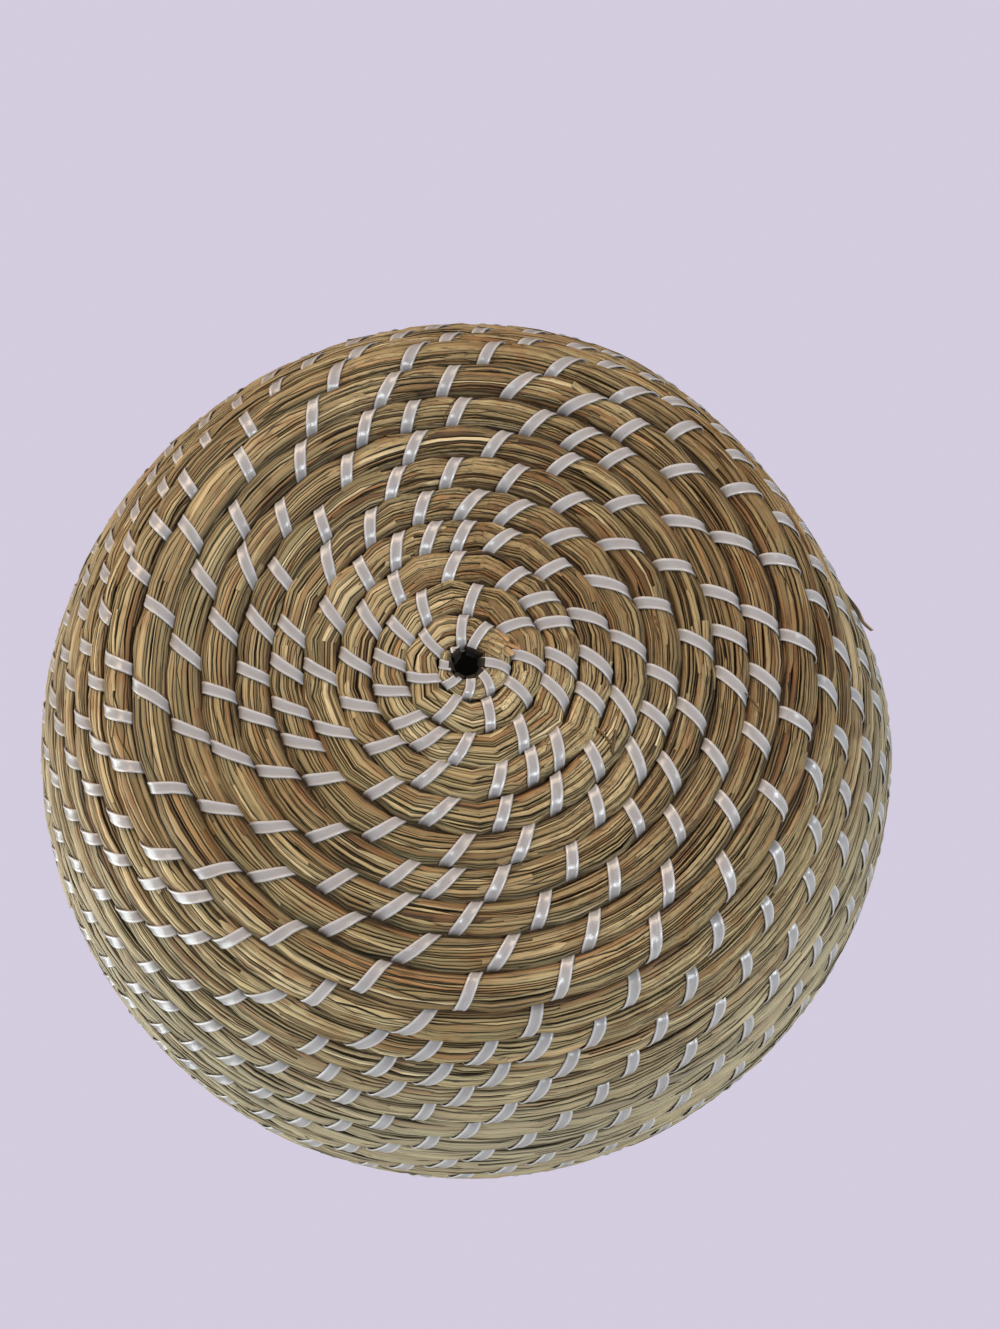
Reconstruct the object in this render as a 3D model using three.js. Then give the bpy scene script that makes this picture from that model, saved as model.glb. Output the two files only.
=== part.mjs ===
// A round coiled basket. One bundle of dried grass is laid in a spiral from a small hole at the
// centre of the base to the rim, and a plastic strip winds round it, row after row. Each turn of the
// strip is a stitch: it lies aslant across the outside of its row, goes in through the groove, crosses
// the inside of the row and comes out again beside the stitch of the row below.
// Millimetres and degrees, +Z up, origin under the centre of the base.

import * as THREE from "three";

// The coil of grass.
const ROW_PITCH = 10.5; // from one row to the next, along the basket's profile
const BASE_ROWS = 10;
const WALL_ROWS = 14;
const HOLE_RADIUS = 4.5; // the hole at the centre of the base
const BUNDLE_THICKNESS = 9; // through the base and the wall
const BUNDLE_FLAT = 5.2; // width of the bundle's flattened outer and inner faces
const START_THICKNESS = 5; // the bundle starts thin at the hole
const START_TURN = 0.3; // where the tapered start is cut off, in turns
const TAIL_TURNS = 0.25; // the end of the coil tapers onto the rim
const TAIL_WIDTH = 4;
const TAIL_THICKNESS = 5;

// The basket's profile.
const CORNER_RADIUS = 14; // where the base turns up into the wall
const WALL_FLARE = 38; // lean of the wall from upright, at its foot
const MOUTH_FLARE = -14; // and at the mouth, where it draws in
const DENT_DEPTH = 8; // the wall is pressed in a little on one side
const DENT_WIDTH = 80; // in degrees round the basket
const DENT_RISE = 60; // height at which it has its full depth

// The sewing strip.
const STRIP_WIDTH = 3.7; // square to the strip
const STRIP_THICKNESS = 0.5;
const STRIP_CLEARANCE = 0.35; // to the grass on either side
const STITCH_LEAN = 8; // how far a stitch runs along its row as it crosses it
const STITCH_STEP = 5.6; // from the head of a stitch to the foot of the one beside it, in the next row
const FIRST_STITCHES = 8; // through the hole
const SPACING_AT_CENTRE = 16; // widest space between stitches
const SPACING_GROWTH = 0.23; // and how much it grows with the radius
const EVENING = 0.8; // how far a stitch moves off the one below towards even spaces

// The grain of the model.
const STEPS = 22; // straight lengths in a turn of the coil
const SPLICE_GAP = 0.3; // between two lengths of the coil
const BENT_ROW = 10; // a stitch over a row that bends more than this gets a point in the middle

const GRASS_COLOUR = 0xa58a58;
const STRIP_COLOUR = 0xd3ccd2;

const FULL_TURN = 2 * Math.PI;
const START_ANGLE = THREE.MathUtils.degToRad(330); // where the coil starts, seen from above
const DENT_ANGLE = THREE.MathUtils.degToRad(325); // the middle of the dent
const ROWS = BASE_ROWS + WALL_ROWS;
const CROWDED_RADIUS = HOLE_RADIUS + 4 * ROW_PITCH; // the stitches crowd within four rows of the hole
const ROW_GAP = STRIP_THICKNESS + 2 * STRIP_CLEARANCE;
const STRIP_STAND = STRIP_CLEARANCE + STRIP_THICKNESS;
const STRIP_ALONG_ROW = (STRIP_WIDTH * Math.hypot(STITCH_LEAN, ROW_PITCH)) / ROW_PITCH; // as it leans
const BASE_LEVEL = STRIP_STAND + BUNDLE_THICKNESS / 2; // the base stands on its stitches

// The profile is followed by its length from the centre: flat base, corner arc, wall arc.
const BASE_RADIUS = HOLE_RADIUS + ROW_PITCH * (BASE_ROWS - 0.5);
const BASE_FLARE = Math.PI / 2;
const FOOT_FLARE = THREE.MathUtils.degToRad(WALL_FLARE);
const FLAT_LENGTH = BASE_RADIUS - CORNER_RADIUS * Math.tan((BASE_FLARE - FOOT_FLARE) / 2);
const CORNER_LENGTH = CORNER_RADIUS * (BASE_FLARE - FOOT_FLARE);
const WALL_LENGTH = HOLE_RADIUS + ROW_PITCH * ROWS - FLAT_LENGTH - CORNER_LENGTH;
const WALL_BEND = (THREE.MathUtils.degToRad(MOUTH_FLARE) - FOOT_FLARE) / WALL_LENGTH;

function arcFrom(start, bend, length) {
  const flare = start.flare + bend * length;
  return {
    radius: start.radius + (Math.cos(start.flare) - Math.cos(flare)) / bend,
    height: start.height + (Math.sin(flare) - Math.sin(start.flare)) / bend,
    flare,
  };
}

function profileAt(length) {
  if (length <= FLAT_LENGTH) return { radius: length, height: 0, flare: BASE_FLARE };
  const flatEnd = { radius: FLAT_LENGTH, height: 0, flare: BASE_FLARE };
  const pastFlat = length - FLAT_LENGTH;
  const corner = arcFrom(flatEnd, -1 / CORNER_RADIUS, Math.min(pastFlat, CORNER_LENGTH));
  return pastFlat <= CORNER_LENGTH ? corner : arcFrom(corner, WALL_BEND, pastFlat - CORNER_LENGTH);
}

// A row lies between two edges, which are lengths along the profile. The first row grows from nothing
// at the hole, and the last one tapers down onto the row below.
function tailShare(turn) {
  return THREE.MathUtils.clamp((turn - ROWS + TAIL_TURNS) / TAIL_TURNS, 0, 1);
}

function innerEdge(turn) {
  return HOLE_RADIUS + ROW_PITCH * Math.max(0, turn - 1);
}

function outerEdge(turn) {
  const width = ROW_PITCH * Math.min(1, turn);
  return innerEdge(turn) + THREE.MathUtils.lerp(width, TAIL_WIDTH, tailShare(turn));
}

// The bundle's outer face keeps its level where the bundle gets thinner, and the inner face moves.
function faceLevel(turn, side) {
  if (side > 0) return BUNDLE_THICKNESS / 2;
  const started = THREE.MathUtils.lerp(START_THICKNESS, BUNDLE_THICKNESS, Math.min(1, turn));
  return BUNDLE_THICKNESS / 2 - THREE.MathUtils.lerp(started, TAIL_THICKNESS, tailShare(turn));
}

// A point of a row: across runs from 0 at its inner edge to 1 at its outer edge, shift moves it along
// the profile, side is 1 outside, -1 inside and 0 halfway, and stand is how far it is off the grass.
function pointAt(turn, { across, shift = 0, side, stand = 0 }) {
  const length = THREE.MathUtils.lerp(innerEdge(turn), outerEdge(turn), across) + shift;
  const { radius, height, flare } = profileAt(length);
  const halfway = (faceLevel(turn, 1) + faceLevel(turn, -1)) / 2;
  const out = side ? faceLevel(turn, side) + side * stand : halfway;
  const angle = START_ANGLE - turn * FULL_TURN;
  const reach = radius + out * Math.cos(flare) - dentAt(angle, height);
  return new THREE.Vector3(
    reach * Math.cos(angle),
    reach * Math.sin(angle),
    BASE_LEVEL + height - out * Math.sin(flare),
  );
}

// How far the dent draws the wall in.
function dentAt(angle, height) {
  const halfWidth = THREE.MathUtils.degToRad(DENT_WIDTH / 2);
  const aside = Math.acos(Math.cos(angle - DENT_ANGLE)) / halfWidth;
  const share = Math.cos((Math.min(1, aside) * Math.PI) / 2) ** 2;
  return DENT_DEPTH * share * THREE.MathUtils.smoothstep(height, 0, DENT_RISE);
}

// The coil is made of straight lengths, and what lies on it follows them.
function facetPoint(turn, place) {
  const step = Math.floor(turn * STEPS);
  const from = pointAt(step / STEPS, place);
  return from.lerp(pointAt((step + 1) / STEPS, place), turn * STEPS - step);
}

function radiusAt(turn, across = 0.5) {
  return profileAt(THREE.MathUtils.lerp(innerEdge(turn), outerEdge(turn), across)).radius;
}

// How much of a turn a length takes along a row.
function turnsFor(length, turn, across) {
  return length / (FULL_TURN * radiusAt(turn, across));
}

// Rings of points joined into one closed solid.
function solidFromRings(rings) {
  const sides = rings[0].length;
  const last = (rings.length - 1) * sides;
  const index = [];
  for (let ring = 0; ring < rings.length - 1; ring++) {
    for (let side = 0; side < sides; side++) {
      const here = ring * sides + side;
      const beside = ring * sides + ((side + 1) % sides);
      index.push(here, beside, here + sides, beside, beside + sides, here + sides);
    }
  }
  for (let side = 1; side < sides - 1; side++) {
    index.push(0, side + 1, side, last, last + side, last + side + 1);
  }
  const geometry = new THREE.BufferGeometry().setFromPoints(rings.flat());
  geometry.setIndex(index);
  geometry.computeVertexNormals();
  return geometry;
}

// The bundle of grass between two turns of the coil.
const FLAT_SHARE = BUNDLE_FLAT / ROW_PITCH / 2;
const BUNDLE_SECTION = [
  { across: 0, shift: ROW_GAP / 2, side: 0 },
  { across: 0.5 - FLAT_SHARE, side: 1 },
  { across: 0.5 + FLAT_SHARE, side: 1 },
  { across: 1, shift: -ROW_GAP / 2, side: 0 },
  { across: 0.5 + FLAT_SHARE, side: -1 },
  { across: 0.5 - FLAT_SHARE, side: -1 },
];

function coilLength(from, to) {
  const turns = [from];
  for (let step = Math.floor(from * STEPS) + 1; step < to * STEPS; step++) turns.push(step / STEPS);
  turns.push(to);
  return solidFromRings(turns.map((turn) => BUNDLE_SECTION.map((place) => facetPoint(turn, place))));
}

// Where the stitches go in, in turns along the coil: one beside the head of each stitch of the row
// below, and one more wherever these have drawn too far apart.
function crowding(turn, across) {
  return Math.min(1, radiusAt(turn, across) / CROWDED_RADIUS);
}

// A stitch leans less near the hole.
function leanAt(turn) {
  return turnsFor(STITCH_LEAN * crowding(turn, 0.5), turn);
}

function besideStitchBelow(turn) {
  const head = turn - leanAt(turn);
  return head + 1 - turnsFor(STITCH_STEP * crowding(head, 1), head, 1);
}

function sewAlongCoil(end) {
  const stitches = [];
  // The first spaces shrink from two to one around the hole, so that new stitches come in one by one.
  const firstRow = besideStitchBelow(START_TURN) - START_TURN;
  for (let i = 0; i < FIRST_STITCHES; i++) {
    stitches.push(START_TURN + firstRow * Math.log2(1 + i / FIRST_STITCHES));
  }
  for (let below = 0; ; below++) {
    const beside = besideStitchBelow(stitches[below]);
    if (beside > end) return stitches;
    const last = stitches[stitches.length - 1];
    const taken = turnsFor(STITCH_STEP * crowding(last, 0), last, 0);
    const spaceBefore = below > 0 ? stitches[below] - stitches[below - 1] : 0;
    const spaceAfter = stitches[below + 1] - stitches[below];
    const shift = (EVENING * Math.max(0, spaceBefore - spaceAfter)) / 2;
    const next = Math.max(beside - shift, Math.min(beside, last + 2 * taken));
    const widest = turnsFor(SPACING_AT_CENTRE + SPACING_GROWTH * radiusAt(next), next);
    if (next - last > widest) stitches.push((last + taken + next) / 2);
    stitches.push(next);
  }
}

// One station of the strip: two edges on its outer face, and the middle of its inner face.
function stripRing({ turn, across, side }) {
  const turned = across === 0 || across === 1 ? (across - 0.5) * STRIP_THICKNESS : 0;
  const half = turnsFor((STRIP_ALONG_ROW / 2) * crowding(turn, across), turn, across);
  const edge = { across, shift: turned, side, stand: STRIP_STAND };
  const inner = { across, shift: -turned, side, stand: STRIP_CLEARANCE };
  return [facetPoint(turn + half, edge), facetPoint(turn - half, edge), facetPoint(turn, inner)];
}

// The stitch's outside run has a station wherever it crosses a corner of the coil or a bent row.
function stitchStations(foot) {
  const lean = leanAt(foot);
  const head = foot - lean;
  const across = [];
  for (let step = Math.ceil(head * STEPS); step < foot * STEPS; step++) {
    across.push((foot - step / STEPS) / lean);
  }
  const bend = profileAt(innerEdge(foot)).flare - profileAt(outerEdge(foot)).flare;
  if (bend > THREE.MathUtils.degToRad(BENT_ROW)) across.push(0.5);
  across.sort((a, b) => a - b);
  return [
    { turn: foot, across: 0, side: -1 },
    { turn: foot, across: 0, side: 1 },
    ...across.map((share) => ({ turn: foot - share * lean, across: share, side: 1 })),
    { turn: head, across: 1, side: 1 },
    { turn: head, across: 1, side: -1 },
  ];
}

function stripAlong(stitches) {
  return solidFromRings(stitches.flatMap(stitchStations).map(stripRing));
}

// The narrowest gap between a row and the next, measured on the corners of the coil.
function leastRowGap() {
  let least = Infinity;
  for (let step = Math.ceil(STEPS * START_TURN); step < STEPS * (ROWS - 1); step++) {
    for (const here of BUNDLE_SECTION) {
      for (const there of BUNDLE_SECTION) {
        const apart = pointAt(step / STEPS, here).distanceTo(pointAt(step / STEPS + 1, there));
        least = Math.min(least, apart);
      }
    }
  }
  return least;
}

const grass = new THREE.MeshStandardMaterial({ color: GRASS_COLOUR, roughness: 0.85, metalness: 0 });
const strip = new THREE.MeshStandardMaterial({ color: STRIP_COLOUR, roughness: 0.35, metalness: 0 });
const basket = new THREE.Group();

function addPiece(name, geometry, material) {
  const mesh = new THREE.Mesh(geometry, material);
  mesh.name = name;
  basket.add(mesh);
}

// The bundle is spliced at the edge of the flat base and twice on the wall.
const BASE_END = BASE_ROWS - 1;
const BAND_ROWS = (ROWS - BASE_END) / 3;
const COIL_LENGTHS = [
  ["base_coil", START_TURN, BASE_END],
  ["lower_wall_coil", BASE_END, BASE_END + BAND_ROWS],
  ["middle_wall_coil", BASE_END + BAND_ROWS, BASE_END + 2 * BAND_ROWS],
  ["rim_coil", BASE_END + 2 * BAND_ROWS, ROWS],
];
for (const [name, from, to] of COIL_LENGTHS) {
  const end = to === ROWS ? to : to - turnsFor(SPLICE_GAP, to);
  addPiece(name, coilLength(from, end), grass);
}

// One length of strip for each row.
const stitches = sewAlongCoil(ROWS - turnsFor(2 * STRIP_ALONG_ROW, ROWS));
for (let row = 0; row < ROWS; row++) {
  const inRow = stitches.filter((turn) => Math.floor(turn) === row);
  addPiece(`strip_row_${String(row + 1).padStart(2, "0")}`, stripAlong(inRow), strip);
}

console.log(`${stitches.length} stitches, least gap between rows ${leastRowGap().toFixed(2)} mm`);

export default basket;
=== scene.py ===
import math

import bmesh
import bpy
import numpy as np
from mathutils import Matrix, Vector


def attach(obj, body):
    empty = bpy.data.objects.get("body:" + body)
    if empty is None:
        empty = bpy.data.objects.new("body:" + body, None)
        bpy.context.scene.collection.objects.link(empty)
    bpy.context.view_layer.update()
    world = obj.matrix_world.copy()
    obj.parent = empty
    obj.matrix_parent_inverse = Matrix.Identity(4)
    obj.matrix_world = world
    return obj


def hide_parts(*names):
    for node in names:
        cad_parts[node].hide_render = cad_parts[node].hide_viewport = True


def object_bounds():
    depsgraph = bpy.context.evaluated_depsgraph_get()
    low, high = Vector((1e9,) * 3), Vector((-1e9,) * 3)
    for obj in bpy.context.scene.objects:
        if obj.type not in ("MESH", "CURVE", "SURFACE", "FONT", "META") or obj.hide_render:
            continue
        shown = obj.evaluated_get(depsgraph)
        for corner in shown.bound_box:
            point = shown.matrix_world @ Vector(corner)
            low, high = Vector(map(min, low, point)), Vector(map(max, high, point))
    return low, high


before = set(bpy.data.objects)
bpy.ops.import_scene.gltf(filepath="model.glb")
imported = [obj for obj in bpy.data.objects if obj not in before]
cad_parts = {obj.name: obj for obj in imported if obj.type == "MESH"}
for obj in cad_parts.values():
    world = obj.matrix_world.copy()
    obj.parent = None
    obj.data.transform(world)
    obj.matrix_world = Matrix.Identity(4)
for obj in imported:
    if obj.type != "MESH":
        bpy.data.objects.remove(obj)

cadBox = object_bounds()
mm = 0.001
fullTurn = 2 * math.pi
scene = bpy.context.scene


# The coil and the basket's profile, as the frame has them.
basket = {
    "rows": 24,
    "baseRows": 10,
    "rowPitch": 10.5 * mm,
    "holeRadius": 4.5 * mm,
    "bundle": 9 * mm,  # thickness through the wall
    "startBundle": 5 * mm,
    "startTurn": 0.3,
    "tailTurns": 0.25,
    "tailWidth": 4 * mm,
    "tailBundle": 5 * mm,
    "cornerRadius": 14 * mm,
    "footFlare": math.radians(38),
    "mouthFlare": math.radians(-14),
    "dentDepth": 8 * mm,  # the wall is pressed in a little on one side
    "dentAngle": math.radians(325),
    "dentWidth": math.radians(80),
    "dentRise": 60 * mm,
    "startAngle": math.radians(330),
    "level": 5.35 * mm,  # middle of the base above the ground
    "wobble": 0.25 * mm,  # a hand-laid row is never quite even
    "waves": [(2.3, 1, 1), (5.7, 2, 0.7)],  # count in a turn, start, share of the wobble
}
baseRadius = basket["holeRadius"] + basket["rowPitch"] * (basket["baseRows"] - 0.5)
cornerTurn = math.pi / 2 - basket["footFlare"]
flatLength = baseRadius - basket["cornerRadius"] * math.tan(cornerTurn / 2)
cornerLength = basket["cornerRadius"] * cornerTurn
coilLength = basket["holeRadius"] + basket["rowPitch"] * basket["rows"]
wallBend = (basket["mouthFlare"] - basket["footFlare"]) / (coilLength - flatLength - cornerLength)


def arcFrom(radius, height, flare, bend, length):
    turned = flare + bend * length
    across = (np.cos(flare) - np.cos(turned)) / bend
    up = (np.sin(turned) - np.sin(flare)) / bend
    return radius + across, height + up, turned


def profileAt(length):  # flat base, corner arc, wall arc
    onCorner = np.clip(length - flatLength, 0, cornerLength)
    onWall = np.maximum(length - flatLength - cornerLength, 0)
    flat = np.minimum(length, flatLength)
    corner = arcFrom(flat, 0.0, math.pi / 2, -1 / basket["cornerRadius"], onCorner)
    return arcFrom(*corner, wallBend, onWall)


def tailShare(turn):
    return np.clip((turn - basket["rows"] + basket["tailTurns"]) / basket["tailTurns"], 0, 1)


def rowEdges(turn):  # lengths along the profile
    inner = basket["holeRadius"] + basket["rowPitch"] * np.maximum(0, turn - 1)
    tail = tailShare(turn)
    width = basket["rowPitch"] * np.minimum(1, turn) * (1 - tail) + basket["tailWidth"] * tail
    return inner, inner + width


def rowThickness(turn):
    begun, tail = np.minimum(1, turn), tailShare(turn)
    thick = basket["startBundle"] * (1 - begun) + basket["bundle"] * begun
    return thick * (1 - tail) + basket["tailBundle"] * tail


def rowRadius(turn, across=0.5):
    inner, outer = rowEdges(turn)
    return profileAt(inner + across * (outer - inner))[0]


def turnsFor(length, turn, across=0.5):
    return length / (fullTurn * rowRadius(turn, across))


def dentAt(angle, height):
    aside = np.arccos(np.cos(angle - basket["dentAngle"])) / (basket["dentWidth"] / 2)
    share = np.cos(np.minimum(1, aside) * math.pi / 2) ** 2
    rise = np.clip(height / basket["dentRise"], 0, 1)
    return basket["dentDepth"] * share * rise ** 2 * (3 - 2 * rise)


def placeOnCoil(turn, length, out):
    uneven = [share * np.sin(fullTurn * count * turn + start) for count, start, share in basket["waves"]]
    radius, height, flare = profileAt(length + basket["wobble"] * sum(uneven))
    angle = basket["startAngle"] - fullTurn * turn
    reach = radius + out * np.cos(flare) - dentAt(angle, height)
    up = basket["level"] + height - out * np.sin(flare)
    return np.stack([reach * np.cos(angle), reach * np.sin(angle), up], axis=-1)


# Where the strip goes in, in turns along the coil: beside each stitch of the row below, moved a
# little towards even spaces, with one more wherever two have drawn too far apart.
sewing = {
    "lean": 7.4 * mm,  # along the row, from groove to groove
    "leanSpread": 0.22,
    "leanRange": (0.5, 1.5),
    "step": 6.2 * mm,  # from a stitch's head to the foot beside it in the next row
    "crowdedRadius": 44 * mm,  # nearer the hole both get smaller
    "crowdedSpare": 6 * mm,
    "firstStitches": 8,
    "spacingAtCentre": 16 * mm,
    "spacingGrowth": 0.15,
    "evening": 0.6,
    "eveningMost": 4 * mm,
    "endSpare": 9 * mm,
    "pastEnd": 0.03,  # turns, from the end of the coil to the close of its last gap
    "leftOut": 1.0,  # no stitch over the cut stems beside the hole
    "cornerPlace": (0.38, 0.62),  # share of the gap
    "cornerShare": (0.35, 1.15),  # how plain the corner is
    "seed": 5,
}


def crowding(turn, across):
    return np.minimum(1, (rowRadius(turn, across) + sewing["crowdedSpare"]) / sewing["crowdedRadius"])


def leanAt(turn):
    return turnsFor(sewing["lean"] * crowding(turn, 0.5), turn)


def besideStitchBelow(turn):
    head = turn - leanAt(turn)
    return head + 1 - turnsFor(sewing["step"] * crowding(head, 1), head, 1)


def sewAlongCoil():
    end = basket["rows"] - turnsFor(sewing["endSpare"], basket["rows"])
    start = basket["startTurn"]
    firstRow = besideStitchBelow(start) - start
    count = sewing["firstStitches"]
    stitches = [start + firstRow * math.log2(1 + i / count) for i in range(count)]
    below = 0
    while True:
        beside = besideStitchBelow(stitches[below])
        if beside > end:
            return np.array(stitches)
        if below > 0:
            before, here, after = stitches[below - 1 : below + 2]
            most = turnsFor(sewing["eveningMost"], beside)
            beside += np.clip(sewing["evening"] * (after + before - 2 * here), -most, most)
        widest = turnsFor(sewing["spacingAtCentre"] + sewing["spacingGrowth"] * rowRadius(beside), beside)
        if beside - stitches[-1] > widest:
            stitches.append((stitches[-1] + beside) / 2)
        stitches.append(beside)
        below += 1


feet = sewAlongCoil()
feet = np.delete(feet, np.argmin(np.abs(feet - sewing["leftOut"])))
leanShares = np.random.default_rng(sewing["seed"]).normal(1, sewing["leanSpread"], len(feet))
leans = leanAt(feet) * np.clip(leanShares, *sewing["leanRange"])
heads = feet - leans
middles = feet - leans / 2
insideMiddles, insideLeans = (feet[:-1] + heads[1:]) / 2, feet[:-1] - heads[1:]
print("sewing:", len(feet), "stitches")

# Between two stitches lies a gap, and in it a corner. A place along the coil is also a count of gaps.
stitchKnots = np.concatenate([[2 * middles[0] - middles[1]], middles, [basket["rows"] + sewing["pastEnd"]]])
gapRng = np.random.default_rng(sewing["seed"] + 1)
cornerPlaces = gapRng.uniform(*sewing["cornerPlace"], len(stitchKnots) - 1)
cornerShares = gapRng.uniform(*sewing["cornerShare"], len(stitchKnots) - 1)
cornerKnots = stitchKnots[:-1] + cornerPlaces * np.diff(stitchKnots)
turnKnots = np.sort(np.concatenate([stitchKnots, cornerKnots]))
gapKnots = np.arange(len(turnKnots)) / 2 - 1


def turnAtGap(gap):
    return np.interp(gap, gapKnots, turnKnots)


def gapAtTurn(turn):
    return np.interp(turn, turnKnots, gapKnots)


# The bundle's skin. A lane is an angle round the bundle: nothing in the outer groove, a quarter
# turn on the outside of the basket, a half turn in the inner groove.
bundle = {
    "squareness": 0.88,  # 1 is an ellipse, less is squarer
    "flatRadius": 75 * mm,  # nearer the hole the rows are pressed flat
    "flatter": 0.42,  # taken from the squareness at the hole
    "fill": 0.5,  # half width, as a share of the row
    "proud": 0.75 * mm,  # loose grass stands past the bundle's measured thickness
    "pinch": 0.16,  # how far a stitch draws the grass in, as a share of the thickness
    "pinchReach": 4.2 * mm,
    "hump": 0.85 * mm,  # the outer edge swells between stitches
    "waist": 1.9 * mm,  # and is drawn in under them
    "corner": 1.0,  # how straight the grass runs past a stitch, to a corner in the gap
    "cornerMost": 1.5 * mm,
    "cornerNear": 42 * mm,  # corners are plain up to here
    "cornerFar": 80 * mm,
}


def apartFrom(middle, lean, turn, across):  # from the nearest stitch, along the row
    place = turn + np.interp(turn, middle, lean) * (across - 0.5)
    after = np.clip(np.searchsorted(middle, place), 1, len(middle) - 1)
    near = np.where(place - middle[after - 1] < middle[after] - place, after - 1, after)
    return np.abs(turn - middle[near] - lean[near] * (0.5 - across)) * fullTurn * rowRadius(turn)


def pinchAt(turn, lane):
    across = (1 + sectionAt(lane, bundle["squareness"] - flatterAt(turn))[0]) / 2
    outside = apartFrom(middles, leans, turn, across)
    inside = apartFrom(insideMiddles, insideLeans, turn, across)
    return np.exp(-((np.where(np.sin(lane) > 0, outside, inside) / bundle["pinchReach"]) ** 2))


def cornerSags():  # how far each corner stands out
    radius = rowRadius(cornerKnots)
    straight = bundle["corner"] * radius * (np.diff(stitchKnots) * fullTurn) ** 2 / 8
    near, far = bundle["cornerNear"], bundle["cornerFar"]
    plain = np.clip((far - radius) / (far - near), 0, 1)
    return np.minimum(straight, bundle["cornerMost"]) * plain * cornerShares


sags = cornerSags()
sagsAtStitches = np.concatenate([sags[:1], (sags[:-1] + sags[1:]) / 2, sags[-1:]])


def cornerShift(turn):  # in at the stitches, out at the corners between them
    gap = gapAtTurn(turn)
    number = np.clip(np.floor(gap).astype(int) + 1, 0, len(sags) - 1)
    corner = 1 - np.abs(2 * (gap - np.floor(gap)) - 1)
    return sags[number] * corner ** 2 - np.interp(turn, stitchKnots, sagsAtStitches) / 3


def flatterAt(turn):
    return bundle["flatter"] * np.clip(1 - rowRadius(turn) / bundle["flatRadius"], 0, 1)


def sectionAt(lane, power):  # across and out, on a shape between a circle and a square
    size = (np.abs(np.cos(lane)) ** (2 / power) + np.abs(np.sin(lane)) ** (2 / power)) ** (power / 2)
    return np.cos(lane) / size, np.sin(lane) / size


def signedPower(value, power):
    return np.sign(value) * np.abs(value) ** power


def roundTheRow(turn, lane, halfWidth, halfThick, power):  # length and out of a rounded section
    inner, outer = rowEdges(turn)
    middle = (inner + outer) / 2
    shift, flare = cornerShift(turn), profileAt(middle)[2]
    across, face = sectionAt(lane, power)
    length = middle + halfWidth * across + shift * np.sin(flare)
    centre = (basket["bundle"] - rowThickness(turn)) / 2 + shift * np.cos(flare)
    return length, centre + halfThick * face


def bundleSize(turn, lane):  # half width and half thickness there, and the pinch
    inner, outer = rowEdges(turn)
    pinch = pinchAt(turn, lane)
    swell = np.clip(np.cos(lane), 0, 1) * np.minimum(1, (outer - inner) / basket["rowPitch"])
    halfWidth = bundle["fill"] * (outer - inner) + (bundle["hump"] - bundle["waist"] * pinch) * swell
    halfThick = (rowThickness(turn) / 2 + bundle["proud"]) * (1 - bundle["pinch"] * pinch)
    return halfWidth, halfThick, pinch


def skinAt(turn, lane, level):  # length, out, the direction that faces out, and the pinch
    halfWidth, halfThick, pinch = bundleSize(turn, lane)
    power = bundle["squareness"] - flatterAt(turn)
    length, out = roundTheRow(turn, lane, level * halfWidth, level * halfThick, power)
    across, face = sectionAt(lane, power)
    towardsEdge = signedPower(across, 2 / power - 1) / halfWidth
    towardsFace = signedPower(face, 2 / power - 1) / halfThick
    size = np.hypot(towardsEdge, towardsFace)
    return length, out, towardsEdge / size, towardsFace / size, pinch


# Small helpers for meshes and materials.
def pieceFrom(bm, name):
    mesh = bpy.data.meshes.new(name)
    bm.to_mesh(mesh)
    bm.free()
    piece = bpy.data.objects.new(name, mesh)
    scene.collection.objects.link(piece)
    return piece


def cutInSteps(bm, axis, steps):  # the edges that run that way
    edges = [e for e in bm.edges if abs((e.verts[0].co - e.verts[1].co)[axis]) > 0.4]
    bmesh.ops.subdivide_edges(bm, edges=edges, cuts=steps - 1, use_grid_fill=True)


def prism(sides, steps):  # closed, along Z
    bm = bmesh.new()
    bmesh.ops.create_cone(bm, cap_ends=True, segments=sides, radius1=1, radius2=1, depth=1)
    cutInSteps(bm, 2, steps)
    return bm


def coordinatesOf(mesh):
    flat = np.empty(len(mesh.vertices) * 3, np.float32)
    mesh.vertices.foreach_get("co", flat)
    return flat.reshape(-1, 3).astype(float)


def setCoordinates(mesh, points):
    mesh.vertices.foreach_set("co", points.astype(np.float32).ravel())
    mesh.update()


def setAttribute(mesh, name, *values):
    attribute = mesh.attributes.new(name, "FLOAT_VECTOR", "POINT")
    vectors = np.stack(np.broadcast_arrays(*values), -1)
    attribute.data.foreach_set("vector", vectors.astype(np.float32).ravel())


def signedVolume(mesh):
    mesh.calc_loop_triangles()
    corners = np.empty(len(mesh.loop_triangles) * 3, np.int32)
    mesh.loop_triangles.foreach_get("vertices", corners)
    a, b, c = coordinatesOf(mesh)[corners.reshape(-1, 3)].transpose(1, 0, 2)
    return np.einsum("ij,ij->i", a, np.cross(b, c)).sum() / 6


def finishMesh(piece, material):  # smooth, and facing outwards
    mesh = piece.data
    mesh.polygons.foreach_set("use_smooth", np.ones(len(mesh.polygons), bool))
    mesh.materials.append(material)
    if signedVolume(mesh) < 0:
        mesh.flip_normals()


def joinInto(piece, other):
    with bpy.context.temp_override(active_object=piece, selected_editable_objects=[piece, other]):
        bpy.ops.object.join()


def addPiece(piece, slotName, *nodes):
    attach(piece, "root")
    if nodes:
        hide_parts(*nodes)


def newMaterial(name):
    material = bpy.data.materials.new(name)
    material.use_nodes = True
    tree = material.node_tree
    return material, tree, tree.nodes["Principled BSDF"]


def feed(tree, node, inputs):  # from another node, or with a plain value
    for key, value in inputs.items():
        if isinstance(value, bpy.types.NodeSocket):
            tree.links.new(value, node.inputs[key])
        else:
            node.inputs[key].default_value = value


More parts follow.
